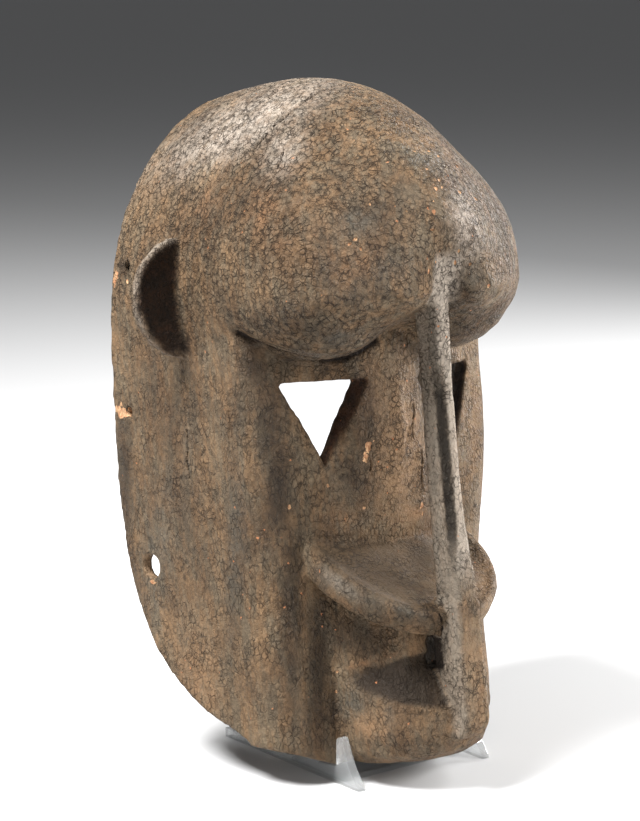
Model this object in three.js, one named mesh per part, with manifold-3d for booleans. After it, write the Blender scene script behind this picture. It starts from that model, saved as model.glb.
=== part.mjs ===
// A carved wooden monkey mask on its clear display stand, in millimetres, +Z up, face towards -Y.
//
// The mask is one solid, cut from one log: a helmet shell open at the back, a domed brow with two
// lobes, two ears, a free-standing nose bar, a mouth shelf and a chin block. It is modelled upright
// in a frame of its own, with z = 0 on its lower edge and y = 0 on the flat of the cheeks, then
// leaned back and set on the seats of the stand.

import * as THREE from "three";
import { mergeVertices } from "three/addons/utils/BufferGeometryUtils.js";
import Module from "manifold-3d";

const wasm = await Module();
wasm.setup();

const { smoothstep, lerp, degToRad } = THREE.MathUtils;

// Whole mask
const LEAN_DEG = 8;
const WALL = 11;
const RIM_WALL = 6;
const GAP = 0.3;
// A distance beyond the mask on every side, for the far faces of cutting shapes
const FAR = 200;

// Helmet shell, as horizontal sections
const REAR_Y = 98;
const REAR_HALF = 88;
const SHELL_BACK_Y = 150;
const SIDE_HALF_LOW = 76;
const SIDE_HALF_HIGH = 79;
const CORNER_R_LOW = 24;
const CORNER_R_HIGH = 9;
const LEAST_CORNER_R = 4;
const CORNER_LOW_Z = 80;
const CORNER_HIGH_Z = 170;
const SHELL_TOP_Z = 236;
const OUTER_BASE_Z = -2;
const OUTER_STEP = 14;
const CAVITY_BASE_Z = -4;
const CAVITY_TOP_Z = 252;
const CAVITY_STEP = 25;
const SOCKET_SLOPE_LOW = 0.04;
const SOCKET_SLOPE_HIGH = 0.22;
const FRONT_STEPS = 9;
const CORNER_STEPS = 5;
const SIDE_STEPS = 4;
const PLATE_RISE = 6;
const PLATE_INNER_X = 20;
const PLATE_OUTER_X = 34;
const FACE_THICK_LOW = 12;
const FACE_THICK_HIGH = 7;

// Lower edge
const FLAT_HALF = 41;
const CHEEK_RISE = 0.38;
const HEEL_Y = 12;
// Points of the rear edge in the side view, as distance back and height
const REAR_CURVE = [
  [20, 9],
  [32, 19.5],
  [60, 35],
  [84, 59],
  [100, 92],
  [105, 130],
  [103, 190],
  [98, 242],
];

// Brow
const BROW_CENTRE = new THREE.Vector3(0, 20, 258);
const DOME = { centre: [0, 45, 234], semi: [90, 123, 113], behind: 300, power: 1.8 };
const DOME_FRONT_POWER = 2.02;
const DOME_UNDER_FRONT = 22;
const DOME_UNDER_BACK = 120;
const DOME_UNDER_START_Y = -5;
const DOME_UNDER_END_Y = 25;
const HOLLOW_REACH = 80;
const HOLLOW_FLOOR_Z = 244;
const LEFT_LOBE = { centre: [-41, -15, 246], semi: [41, 42, 46], behind: 60, power: 2.3 };
const RIGHT_LOBE = { centre: [37, -15, 244], semi: [37.5, 40.5, 45], behind: 60, power: 2.3 };
const LOBE_UNDER = 42;
const CROWN_SHIFT = 2;
const CROWN_TOP_Z = 340;
const CLEFT_DEPTH = 11;
const CLEFT_HALF = 13;
const CLEFT_START = 10;
const CLEFT_FULL = 50;
const CLEFT_LOW_Z = 235;
const CLEFT_HIGH_Z = 270;
const BROW_BLEND = 18;
const BROW_DETAIL = 11;
const HOLLOW_DETAIL = 8;
const RAY_TOLERANCE = 0.005;

// Eyes, in the plane of the face, as distance from the middle and height
const LEFT_EYE = { inner: [15.5, 192.5], outer: [60, 194], tip: [38, 150] };
const RIGHT_EYE = {
  inner: [15.5, 189.5],
  top: [18.5, 192.5],
  outer: [64, 193.3],
  low: [51, 158.5],
  tip: [43, 145],
};
const EYE_CUT_FRONT_Y = -60;
const EYE_CUT_DEPTH = 110;

// Ears
const EAR_Y = 40;
const EAR_Z = 240;
const EAR_R = 30;
const EAR_REACH = 28;
const EAR_THICK = 6;
const EAR_DISH = 3.5;
const EAR_DISH_SET_FORWARD = 4;
const EAR_RIM = 1.6;
const EAR_ROOT_X = 81;
const EAR_ROOT = 14;

// Nose bar, its post below the shelf, and the snout tip
const BAR_HALF = 5.5;
const BAR_FRONT_Y = -64;
const BAR_REAR_Y = -47;
const BAR_BASE_Z = 70;
const BAR_TOP_Z = 250;
const BAR_STEPS = 15;
// The bar is waisted: its front is set back halfway up, and its front face is narrower than its back
const BAR_WAIST = 3;
const BAR_WAIST_LOW_Z = 80;
const BAR_WAIST_HIGH_Z = 240;
const BAR_NARROW_LOW_Z = 78;
const BAR_NARROW_HIGH_Z = 140;
const BAR_NARROW_RIGHT = 2.6;
const BAR_NARROW_LEFT = 3.6;
const BAR_RIGHT_BEVEL = 6;
// The left front edge is carved back into a long hollow
const BAR_BEVEL = 2.8;
const BAR_BEVEL_LEAST = 0.8;
const BAR_BEVEL_ENDS = [95, 120, 168, 190];
const BAR_SWELL = 1.4;
const BAR_SWELL_LOW_Z = 115;
const BAR_SWELL_HIGH_Z = 185;
const POST_HALF = 7;
const POST_DEPTH = 22;
const POST_TOP_Z = 80;
const POST_BASE_Z = 12;
const POST_BEND_Z = 16;
const POST_TIP_Z = 27;
const POST_TIP_SET_BACK = 7;

// Mouth shelf
const SHELF_HALF = 53;
const SHELF_CENTRE_X = 1;
const SHELF_REACH = 54;
const SHELF_CENTRE_Y = -10;
const SHELF_THICK = 15;
const SHELF_EDGE = 3;
const SHELF_ROOT = 30;
const SHELF_BACK_Z = 108;
const SHELF_SLOPE_DEG = 34;
const SHELF_ROLL_DEG = 4;

// Muzzle, mouth slot and chin
const ROOT_Y = 14;
const MUZZLE_FRONT_Y = -40;
const MUZZLE_FRONT_HALF = 23;
const MUZZLE_ROOT_HALF = 38.4;
const MUZZLE_ROOT_Y = -4;
const MUZZLE_TOP_ROOT_Z = 103;
const MUZZLE_TOP_FRONT_Z = 84;
const MUZZLE_TAPER = (MUZZLE_ROOT_HALF - MUZZLE_FRONT_HALF) / (MUZZLE_ROOT_Y - MUZZLE_FRONT_Y);
const MUZZLE_BASE_Z = 20;
const MUZZLE_FULL_Z = 51;
const MUZZLE_UNDERCUT = 8;
const MUZZLE_HOLLOW_HALF = 17;
const MUZZLE_HOLLOW_FRONT_Y = -27;
const MUZZLE_HOLLOW_BACK_Y = 30;
const MUZZLE_HOLLOW_LOW_Z = 18;
const MUZZLE_HOLLOW_HIGH_Z = 80;
const SLOT_HALF = 9;
const SLOT_FRONT_Y = -50;
const SLOT_BACK_Y = 20;
const SLOT_LOW_Z = 47;
const SLOT_HIGH_Z = 62;
const CHIN_HALF = 38.4;
const CHIN_REACH = 47;
const CHIN_CENTRE_Y = -8;
const CHIN_STEPS = 20;
// Rounding of the underside, as height, narrower by and shorter by
const CHIN_UNDERSIDE = [
  [0, 6, 18],
  [5, 1, 8],
  [14, 0, 1],
];
const CHIN_SIDE_Z = 41;
const CHIN_FALL = 0.32;
const CHIN_BEVEL_Z = 56;
const CHIN_BEVEL_LEAST = 1;
const CHIN_BEVEL_STEPS = 4;
const CHIN_TUCK = 2;

// Fixing holes near the rear edge: place, half length along the rim's depth and half height
const FIXING_HOLES = [
  { y: 84.5, z: 257, deep: 3.2, tall: 3.6 },
  { y: 90, z: 183, deep: 2.6, tall: 2.8 },
  { y: 83.5, z: 103, deep: 7.2, tall: 6.4 },
];
const HOLE_SIDES = 14;

// Stand: two side plates, each with a foot, a hook, a seat and an arm, tied by a flat bridge
const PLATE_OUT_X = 43.6;
const PLATE_THICK = 4.6;
const SEAT_Y = 20;
const SEAT_Z = 9;
const HOOK_BACK_Y = 18;
const HOOK_TIP_Z = 24.3;
const HOOK_TIP_R = 2.6;
const HOOK_TIP_TURN = Math.PI * 0.85;
const HOOK_BEND_Y = 8;
const HOOK_BEND_Z = 9;
const TOE_HEIGHT = 2;
const FOOT_LENGTH = 113;
const FOOT_HEIGHT = 5;
const ARM_FRONT_Y = 11.6;
const ARM_LENGTH = 112;
const ARM_DEPTH_LOW = 14;
const ARM_DEPTH_HIGH = 9;
const ARM_TIP_FALL = 2;
const ARM_FILLET = 12;
const ARM_FILLET_HEIGHT = 22;
const BRIDGE_FRONT_Y = 15.5;
const BRIDGE_BACK_Y = 58;
const BRIDGE_THICK = 3;

const WOOD = { color: 0x4a3b30, roughness: 0.85, metalness: 0 };
const CLEAR = { color: 0xeef3f6, roughness: 0.08, metalness: 0, transparent: true, opacity: 0.3 };

// A closed three.js geometry as a solid that can be joined and cut
function solid(geometry) {
  const bare = geometry.index ? geometry.toNonIndexed() : geometry.clone();
  bare.deleteAttribute("normal");
  bare.deleteAttribute("uv");
  const merged = mergeVertices(bare, 1e-4);
  const mesh = new wasm.Mesh({
    numProp: 3,
    vertProperties: merged.attributes.position.array,
    triVerts: new Uint32Array(merged.index.array),
  });
  return new wasm.Manifold(mesh);
}

function geometryOf(manifold) {
  const mesh = manifold.getMesh();
  const geometry = new THREE.BufferGeometry();
  geometry.setAttribute("position", new THREE.BufferAttribute(mesh.vertProperties, 3));
  geometry.setIndex(new THREE.BufferAttribute(mesh.triVerts, 1));
  return geometry;
}

// A closed skin over rings with the same number of points, each ring counter-clockwise from above.
function loft(rings) {
  const count = rings[0].length;
  const points = rings.flat();
  const index = [];
  for (let r = 0; r < rings.length - 1; r++) {
    for (let i = 0; i < count; i++) {
      const next = (i + 1) % count;
      const a = r * count + i;
      const b = r * count + next;
      index.push(a, b, b + count, a, b + count, a + count);
    }
  }
  const top = (rings.length - 1) * count;
  const flat = rings[0].map((p) => new THREE.Vector2(p.x, p.y));
  for (const [a, b, c] of THREE.ShapeUtils.triangulateShape(flat, [])) index.push(c, b, a);
  const lid = rings[rings.length - 1].map((p) => new THREE.Vector2(p.x, p.y));
  for (const [a, b, c] of THREE.ShapeUtils.triangulateShape(lid, [])) {
    index.push(top + a, top + b, top + c);
  }
  const geometry = new THREE.BufferGeometry().setFromPoints(points);
  geometry.setIndex(index);
  return geometry;
}

// A prism of a shape drawn in (across, up), centred on the plane x = 0.
function alongX(shape, width) {
  const geometry = new THREE.ExtrudeGeometry(shape, { depth: width, bevelEnabled: false });
  geometry.translate(0, 0, -width / 2);
  geometry.rotateX(Math.PI / 2);
  geometry.rotateZ(Math.PI / 2);
  return geometry;
}

// A prism of a shape drawn in (x, z), from the plane y = front towards the back.
function alongY(shape, front, depth) {
  const geometry = new THREE.ExtrudeGeometry(shape, { depth, bevelEnabled: false });
  geometry.rotateX(Math.PI / 2);
  geometry.translate(0, front + depth, 0);
  return geometry;
}

function block(x0, x1, y0, y1, z0, z1) {
  const geometry = new THREE.BoxGeometry(x1 - x0, y1 - y0, z1 - z0);
  geometry.translate((x0 + x1) / 2, (y0 + y1) / 2, (z0 + z1) / 2);
  return geometry;
}

// One horizontal section of the shell. An inset moves it in by the wall, for the hollow.
function shellSection(z, inset) {
  const high = smoothstep(z, CORNER_LOW_Z, CORNER_HIGH_Z);
  const half = lerp(SIDE_HALF_LOW, SIDE_HALF_HIGH, high) - inset;
  const radius = Math.max(lerp(CORNER_R_LOW, CORNER_R_HIGH, high) - inset / 2, LEAST_CORNER_R);
  const rear = REAR_HALF - (inset > 0 ? RIM_WALL : 0);
  const slope = lerp(SOCKET_SLOPE_LOW, SOCKET_SLOPE_HIGH, high);
  const hollow = inset > 0;
  const front = (x) => {
    const plane = -slope * (half - x);
    if (hollow) return plane + lerp(FACE_THICK_LOW, FACE_THICK_HIGH, high);
    return plane - high * PLATE_RISE * (1 - smoothstep(x, PLATE_INNER_X, PLATE_OUTER_X));
  };
  const right = [];
  const flatEnd = half - radius;
  const start = front(flatEnd);
  for (let i = 0; i < FRONT_STEPS; i++) {
    const x = (flatEnd * i) / FRONT_STEPS;
    right.push(new THREE.Vector3(x, front(x), z));
  }
  for (let i = 0; i <= CORNER_STEPS; i++) {
    const angle = (i / CORNER_STEPS) * (Math.PI / 2);
    const x = flatEnd + radius * Math.sin(angle);
    right.push(new THREE.Vector3(x, start + radius * (1 - Math.cos(angle)), z));
  }
  const sideStart = start + radius;
  for (let i = 1; i <= SIDE_STEPS; i++) {
    const y = lerp(sideStart, REAR_Y, i / SIDE_STEPS);
    right.push(new THREE.Vector3(lerp(half, rear, smoothstep(y, 0, REAR_Y)), y, z));
  }
  right.push(new THREE.Vector3(rear, SHELL_BACK_Y, z));
  const left = right.slice(1).reverse().map((p) => new THREE.Vector3(-p.x, p.y, z));
  return [...left, ...right];
}

function shell(inset, bottom, top, step) {
  const rings = [];
  const count = Math.ceil((top - bottom) / step);
  for (let i = 0; i <= count; i++) rings.push(shellSection(lerp(bottom, top, i / count), inset));
  return loft(rings);
}

// How far a point is outside a rounded body: above zero outside, below zero inside
function ellipsoid(p, { centre, semi, behind, power }, under) {
  const deep = p.y > centre[1] ? behind : semi[1];
  const tall = p.z < centre[2] ? under : semi[2];
  const dx = Math.abs(p.x - centre[0]) / semi[0];
  const dy = Math.abs(p.y - centre[1]) / deep;
  const dz = Math.abs(p.z - centre[2]) / tall;
  const size = (dx ** power + dy ** power + dz ** power) ** (1 / power);
  return (size - 1) * Math.min(...semi);
}

// The join of two bodies, filled along their crease
function smoothMin(a, b, blend) {
  const h = Math.max(blend - Math.abs(a - b), 0) / blend;
  return Math.min(a, b) - (h * h * blend) / 4;
}

// The dome, or the hollow inside it
function domeField(p, hollow) {
  const back = hollow ? 1 : smoothstep(p.y, DOME_UNDER_START_Y, DOME_UNDER_END_Y);
  const under = lerp(DOME_UNDER_FRONT, DOME_UNDER_BACK, back);
  const taper = (REAR_HALF - SIDE_HALF_HIGH) * (1 - smoothstep(p.y, 0, REAR_Y));
  const shift = CROWN_SHIFT * smoothstep(p.z, DOME.centre[2], CROWN_TOP_Z);
  const inset = hollow ? lerp(WALL, RIM_WALL, smoothstep(p.y, 0, REAR_Y)) : 0;
  const reach = hollow ? HOLLOW_REACH : DOME.semi[1];
  const semi = [DOME.semi[0] - taper - inset, reach, DOME.semi[2] - inset];
  const power = lerp(DOME_FRONT_POWER, DOME.power, smoothstep(p.y, 0, REAR_Y));
  const moved = new THREE.Vector3(p.x - shift, p.y, p.z);
  return ellipsoid(moved, { ...DOME, semi, power }, under);
}

// The dome with two lobes and the cleft between them, above the nose bar
function browField(p) {
  const left = ellipsoid(p, LEFT_LOBE, LOBE_UNDER);
  const right = ellipsoid(p, RIGHT_LOBE, LOBE_UNDER);
  const middle = Math.exp(-((p.x / CLEFT_HALF) ** 2)) * smoothstep(-p.y, CLEFT_START, CLEFT_FULL);
  const cleft = CLEFT_DEPTH * middle * (1 - smoothstep(p.z, CLEFT_LOW_Z, CLEFT_HIGH_Z));
  return smoothMin(domeField(p, false), Math.min(left, right), BROW_BLEND) + cleft;
}

// A ball whose points are moved along their rays on to the surface of a body
function ball(field, detail) {
  const geometry = new THREE.IcosahedronGeometry(1, detail);
  const position = geometry.attributes.position;
  const ray = new THREE.Vector3();
  const point = new THREE.Vector3();
  for (let i = 0; i < position.count; i++) {
    ray.fromBufferAttribute(position, i).normalize();
    let near = 0;
    let far = FAR;
    while (far - near > RAY_TOLERANCE) {
      const middle = (near + far) / 2;
      point.copy(BROW_CENTRE).addScaledVector(ray, middle);
      if (field(point) < 0) near = middle;
      else far = middle;
    }
    point.copy(BROW_CENTRE).addScaledVector(ray, near);
    position.setXYZ(i, point.x, point.y, point.z);
  }
  return geometry;
}

// What the side view keeps: the lower edge sweeps up from the heel to the rear rim
function sideProfile() {
  const shape = new THREE.Shape();
  shape.moveTo(-FAR, 0);
  shape.lineTo(HEEL_Y, 0);
  shape.splineThru(REAR_CURVE.map(([y, z]) => new THREE.Vector2(y, z)));
  shape.lineTo(REAR_Y, 2 * FAR);
  shape.lineTo(-FAR, 2 * FAR);
  shape.closePath();
  return shape;
}

// What the front view keeps: the cheeks rise outwards from the flat under the chin
function frontProfile() {
  const rise = CHEEK_RISE * (FAR - FLAT_HALF);
  const shape = new THREE.Shape();
  shape.moveTo(-FLAT_HALF, 0);
  shape.lineTo(FLAT_HALF, 0);
  shape.lineTo(FAR, rise);
  shape.lineTo(FAR, 2 * FAR);
  shape.lineTo(-FAR, 2 * FAR);
  shape.lineTo(-FAR, rise);
  shape.closePath();
  return shape;
}

function eye(side, corners) {
  const shape = new THREE.Shape(Object.values(corners).map(([x, z]) => new THREE.Vector2(side * x, z)));
  return alongY(shape, EYE_CUT_FRONT_Y, EYE_CUT_DEPTH);
}

// Half-disc flange, its hollow face forward
function ear(side) {
  const shape = new THREE.Shape();
  shape.moveTo(0, -EAR_R);
  shape.absellipse(0, 0, EAR_REACH, EAR_R, -Math.PI / 2, Math.PI / 2, false);
  shape.lineTo(-EAR_ROOT, EAR_R);
  shape.lineTo(-EAR_ROOT, -EAR_R);
  shape.closePath();
  const geometry = new THREE.ExtrudeGeometry(shape, {
    depth: EAR_THICK,
    bevelEnabled: false,
    curveSegments: 16,
  });
  geometry.rotateX(Math.PI / 2);
  if (side < 0) geometry.rotateZ(Math.PI);
  geometry.translate(side * EAR_ROOT_X, EAR_Y + (side < 0 ? 0 : EAR_THICK), EAR_Z);
  const depth = EAR_DISH + EAR_DISH_SET_FORWARD;
  const share = Math.sqrt(1 - (EAR_DISH_SET_FORWARD / depth) ** 2);
  const dish = new THREE.SphereGeometry(1, 32, 20);
  dish.scale((EAR_REACH - EAR_RIM) / share, depth, (EAR_R - EAR_RIM) / share);
  dish.translate(side * EAR_ROOT_X, EAR_Y - EAR_DISH_SET_FORWARD, EAR_Z);
  return solid(geometry).subtract(solid(dish));
}

// One horizontal section of the nose bar
function barSection(z) {
  const turn = (Math.PI * (z - BAR_WAIST_LOW_Z)) / (BAR_WAIST_HIGH_Z - BAR_WAIST_LOW_Z);
  const front = BAR_FRONT_Y + BAR_WAIST * Math.max(Math.sin(turn), 0);
  const narrow = smoothstep(z, BAR_NARROW_LOW_Z, BAR_NARROW_HIGH_Z);
  const [start, full, fade, end] = BAR_BEVEL_ENDS;
  const hollow = smoothstep(z, start, full) * (1 - smoothstep(z, fade, end));
  const bevel = BAR_BEVEL_LEAST + BAR_BEVEL * hollow;
  const rear = BAR_REAR_Y + BAR_SWELL * (1 - smoothstep(z, BAR_SWELL_LOW_Z, BAR_SWELL_HIGH_Z));
  return [
    new THREE.Vector3(BAR_HALF, rear, z),
    new THREE.Vector3(-BAR_HALF, rear, z),
    new THREE.Vector3(-BAR_HALF, front + bevel, z),
    new THREE.Vector3(-BAR_HALF + BAR_NARROW_LEFT * narrow, front, z),
    new THREE.Vector3(BAR_HALF - BAR_NARROW_RIGHT * narrow, front, z),
    new THREE.Vector3(BAR_HALF, front + BAR_RIGHT_BEVEL, z),
  ];
}

// The post is wider than the bar, and its foot is rounded at the front
function barAndPost() {
  const sections = [];
  for (let i = 0; i <= BAR_STEPS; i++) {
    sections.push(barSection(lerp(BAR_BASE_Z, BAR_TOP_Z, i / BAR_STEPS)));
  }
  const side = new THREE.Shape();
  side.moveTo(BAR_FRONT_Y + POST_DEPTH, POST_TOP_Z);
  side.lineTo(BAR_FRONT_Y, POST_TOP_Z);
  side.lineTo(BAR_FRONT_Y, POST_TIP_Z);
  side.quadraticCurveTo(BAR_FRONT_Y, POST_BEND_Z, BAR_FRONT_Y + POST_TIP_SET_BACK, POST_BASE_Z);
  side.lineTo(BAR_FRONT_Y + POST_DEPTH, POST_BASE_Z);
  side.closePath();
  return solid(loft(sections)).add(solid(alongX(side, 2 * POST_HALF)));
}

// Half-disc shelf with rounded edges, its top sloping down to the front
function shelf() {
  const half = SHELF_HALF - SHELF_EDGE;
  const shape = new THREE.Shape();
  shape.absellipse(0, 0, half, SHELF_REACH - SHELF_EDGE, Math.PI, 2 * Math.PI, false);
  shape.lineTo(half, SHELF_ROOT);
  shape.lineTo(-half, SHELF_ROOT);
  shape.closePath();
  const geometry = new THREE.ExtrudeGeometry(shape, {
    depth: SHELF_THICK - 2 * SHELF_EDGE,
    bevelThickness: SHELF_EDGE,
    bevelSize: SHELF_EDGE,
    bevelSegments: 3,
    curveSegments: 24,
  });
  geometry.translate(0, 0, -SHELF_THICK / 2);
  geometry.rotateX(degToRad(SHELF_SLOPE_DEG));
  geometry.rotateY(degToRad(SHELF_ROLL_DEG));
  geometry.translate(SHELF_CENTRE_X, SHELF_CENTRE_Y, SHELF_BACK_Z - SHELF_THICK / 2);
  return geometry;
}

// Muzzle, narrowing to the front; its lower part, behind the chin, is cut back
function muzzle() {
  const ring = (rootZ, frontZ, cut) => [
    new THREE.Vector3(-MUZZLE_ROOT_HALF, ROOT_Y, rootZ),
    new THREE.Vector3(-MUZZLE_ROOT_HALF, MUZZLE_ROOT_Y, rootZ),
    new THREE.Vector3(-MUZZLE_FRONT_HALF + cut / 2, MUZZLE_FRONT_Y + cut, frontZ),
    new THREE.Vector3(MUZZLE_FRONT_HALF - cut / 2, MUZZLE_FRONT_Y + cut, frontZ),
    new THREE.Vector3(MUZZLE_ROOT_HALF, MUZZLE_ROOT_Y, rootZ),
    new THREE.Vector3(MUZZLE_ROOT_HALF, ROOT_Y, rootZ),
  ];
  return loft([
    ring(MUZZLE_BASE_Z, MUZZLE_BASE_Z, MUZZLE_UNDERCUT),
    ring(MUZZLE_FULL_Z, MUZZLE_FULL_Z, 0),
    ring(MUZZLE_TOP_ROOT_Z, MUZZLE_TOP_FRONT_Z, 0),
  ]);
}

// Chin block: half-elliptic in plan, its top edge falling to the front and bevelled back to the
// muzzle. The bevel is narrow at the sides and rises to the front.
function chin() {
  const level = (height, half, reach) => {
    const ring = [];
    for (let i = 0; i <= CHIN_STEPS; i++) {
      const angle = Math.PI + (i / CHIN_STEPS) * Math.PI;
      const y = CHIN_CENTRE_Y + reach * Math.sin(angle);
      ring.push(new THREE.Vector3(half * Math.cos(angle), y, height(y)));
    }
    for (const x of [half, -half]) ring.push(new THREE.Vector3(x, ROOT_Y, height(CHIN_CENTRE_Y)));
    return ring;
  };
  const edge = (y) => CHIN_SIDE_Z - CHIN_FALL * (CHIN_CENTRE_Y - y);
  const lower = level(edge, CHIN_HALF, CHIN_REACH);
  const upper = lower.map(({ x, y }) => {
    const depth = Math.max(CHIN_CENTRE_Y - y, 0);
    const toFront = depth > 0 ? (CHIN_CENTRE_Y - MUZZLE_FRONT_Y - CHIN_TUCK) / depth : 1;
    const toSide = (MUZZLE_ROOT_HALF - CHIN_TUCK) / (Math.abs(x) + depth * MUZZLE_TAPER);
    const scale = Math.min(toFront, toSide);
    const rise = Math.min((depth * scale) / (CHIN_CENTRE_Y - MUZZLE_FRONT_Y - CHIN_TUCK), 1);
    const z = lerp(CHIN_SIDE_Z + CHIN_BEVEL_LEAST, CHIN_BEVEL_Z, rise);
    return new THREE.Vector3(x * scale, depth > 0 ? CHIN_CENTRE_Y - depth * scale : y, z);
  });
  const underside = CHIN_UNDERSIDE.map(([z, narrower, shorter]) => {
    return level(() => z, CHIN_HALF - narrower, CHIN_REACH - shorter);
  });
  const bevel = [];
  for (let i = 0; i <= CHIN_BEVEL_STEPS; i++) {
    bevel.push(lower.map((p, k) => p.clone().lerp(upper[k], i / CHIN_BEVEL_STEPS)));
  }
  return loft([...underside, ...bevel]);
}

function hole({ y, z, deep, tall }) {
  const geometry = new THREE.CylinderGeometry(1, 1, 2 * FAR, HOLE_SIDES);
  geometry.rotateZ(Math.PI / 2);
  geometry.scale(1, tall, deep);
  geometry.rotateX(Math.PI / 2);
  geometry.translate(0, y, z);
  return geometry;
}

function buildMask() {
  const head = solid(shell(0, OUTER_BASE_Z, SHELL_TOP_Z, OUTER_STEP))
    .add(solid(ball(browField, BROW_DETAIL)))
    .add(ear(-1))
    .add(ear(1))
    .add(solid(shelf()))
    .add(solid(muzzle()))
    .add(solid(chin()));
  const aboveFloor = solid(block(-FAR, FAR, -FAR, 2 * FAR, HOLLOW_FLOOR_Z, 2 * FAR));
  const dome = solid(ball((p) => domeField(p, true), HOLLOW_DETAIL)).intersect(aboveFloor);
  const cavity = solid(shell(WALL, CAVITY_BASE_Z, CAVITY_TOP_Z, CAVITY_STEP)).add(dome);
  const muzzleHollow = block(
    -MUZZLE_HOLLOW_HALF,
    MUZZLE_HOLLOW_HALF,
    MUZZLE_HOLLOW_FRONT_Y,
    MUZZLE_HOLLOW_BACK_Y,
    MUZZLE_HOLLOW_LOW_Z,
    MUZZLE_HOLLOW_HIGH_Z,
  );
  const slot = block(-SLOT_HALF, SLOT_HALF, SLOT_FRONT_Y, SLOT_BACK_Y, SLOT_LOW_Z, SLOT_HIGH_Z);
  let mask = head
    .subtract(cavity)
    .subtract(solid(muzzleHollow))
    .subtract(solid(slot))
    .subtract(solid(eye(-1, LEFT_EYE)))
    .subtract(solid(eye(1, RIGHT_EYE)))
    .add(barAndPost());
  for (const at of FIXING_HOLES) mask = mask.subtract(solid(hole(at)));
  return mask
    .intersect(solid(alongX(sideProfile(), 2 * FAR)))
    .intersect(solid(alongY(frontProfile(), -FAR, 2 * FAR)));
}

// A point of the mask's side view, in the stand's frame
function leaned(y, z) {
  const lean = degToRad(LEAN_DEG);
  return new THREE.Vector2(
    SEAT_Y + y * Math.cos(lean) + z * Math.sin(lean),
    SEAT_Z - y * Math.sin(lean) + z * Math.cos(lean),
  );
}

function sidePlate(side) {
  const seatFront = leaned(HOOK_BACK_Y - SEAT_Y, -GAP);
  const seatBack = leaned(ARM_FRONT_Y, -GAP);
  const armTop = leaned(ARM_FRONT_Y, ARM_LENGTH);
  const armTopBack = leaned(ARM_FRONT_Y + ARM_DEPTH_HIGH, ARM_LENGTH - ARM_TIP_FALL);
  const armBackY = seatBack.x + ARM_DEPTH_LOW;
  const tipY = HOOK_BACK_Y - HOOK_TIP_R;
  const tipZ = HOOK_TIP_Z - HOOK_TIP_R;
  const shape = new THREE.Shape();
  shape.moveTo(FOOT_LENGTH, 0);
  shape.lineTo(FOOT_LENGTH, FOOT_HEIGHT);
  shape.lineTo(armBackY + ARM_FILLET, FOOT_HEIGHT);
  shape.quadraticCurveTo(armBackY, FOOT_HEIGHT, armBackY, FOOT_HEIGHT + ARM_FILLET_HEIGHT);
  shape.lineTo(armTopBack.x, armTopBack.y);
  shape.lineTo(armTop.x, armTop.y);
  shape.lineTo(seatBack.x, seatBack.y);
  shape.lineTo(HOOK_BACK_Y, seatFront.y);
  shape.lineTo(HOOK_BACK_Y, tipZ);
  shape.absarc(tipY, tipZ, HOOK_TIP_R, 0, HOOK_TIP_TURN, false);
  shape.quadraticCurveTo(HOOK_BEND_Y, HOOK_BEND_Z, 0, TOE_HEIGHT);
  shape.lineTo(0, 0);
  shape.closePath();
  const geometry = alongX(shape, PLATE_THICK);
  geometry.translate(side * (PLATE_OUT_X - PLATE_THICK / 2), 0, 0);
  return geometry;
}

function bridge() {
  const half = PLATE_OUT_X - PLATE_THICK - GAP;
  return block(-half, half, BRIDGE_FRONT_Y, BRIDGE_BACK_Y, 0, BRIDGE_THICK);
}

function named(name, geometry, look) {
  const mesh = new THREE.Mesh(geometry, new THREE.MeshStandardMaterial(look));
  mesh.name = name;
  return mesh;
}

const object = new THREE.Group();

const mask = named("mask", geometryOf(buildMask()), WOOD);
mask.rotation.x = -degToRad(LEAN_DEG);
mask.position.set(0, SEAT_Y, SEAT_Z);
object.add(mask);

const stand = new THREE.Group();
stand.add(named("stand_left", sidePlate(-1), CLEAR));
stand.add(named("stand_right", sidePlate(1), CLEAR));
stand.add(named("stand_bridge", bridge(), CLEAR));
object.add(stand);

// The origin is under the middle of the whole object, on the surface it stands on
const middle = new THREE.Box3().setFromObject(object, true).getCenter(new THREE.Vector3());
object.position.set(-middle.x, -middle.y, 0);

const group = new THREE.Group();
group.add(object);

export default group;
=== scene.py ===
"""A carved wooden monkey mask with an old crackled patina, on its clear display stand."""

import math

import bmesh
import bpy
import numpy as np
from mathutils import Euler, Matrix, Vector
from mathutils.bvhtree import BVHTree
from mathutils.kdtree import KDTree


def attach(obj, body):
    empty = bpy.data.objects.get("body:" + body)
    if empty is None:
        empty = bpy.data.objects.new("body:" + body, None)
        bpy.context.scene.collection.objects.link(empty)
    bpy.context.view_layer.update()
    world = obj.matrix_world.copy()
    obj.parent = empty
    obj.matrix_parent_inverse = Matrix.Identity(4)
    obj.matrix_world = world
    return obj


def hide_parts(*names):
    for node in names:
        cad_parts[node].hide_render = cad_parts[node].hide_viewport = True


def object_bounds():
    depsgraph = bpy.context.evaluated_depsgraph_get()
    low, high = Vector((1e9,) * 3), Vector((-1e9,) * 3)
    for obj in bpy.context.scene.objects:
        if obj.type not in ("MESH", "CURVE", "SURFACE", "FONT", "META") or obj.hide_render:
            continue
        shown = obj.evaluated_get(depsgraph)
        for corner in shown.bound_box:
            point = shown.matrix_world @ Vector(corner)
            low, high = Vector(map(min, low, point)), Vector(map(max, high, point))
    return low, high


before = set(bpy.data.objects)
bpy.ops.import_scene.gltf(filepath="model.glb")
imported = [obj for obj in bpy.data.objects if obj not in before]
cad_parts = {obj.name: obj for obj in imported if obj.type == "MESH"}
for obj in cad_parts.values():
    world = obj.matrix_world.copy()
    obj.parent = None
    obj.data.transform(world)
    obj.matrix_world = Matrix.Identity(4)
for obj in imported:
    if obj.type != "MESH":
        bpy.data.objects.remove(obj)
cad_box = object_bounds()

MM = 0.001
SEED = 8

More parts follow.
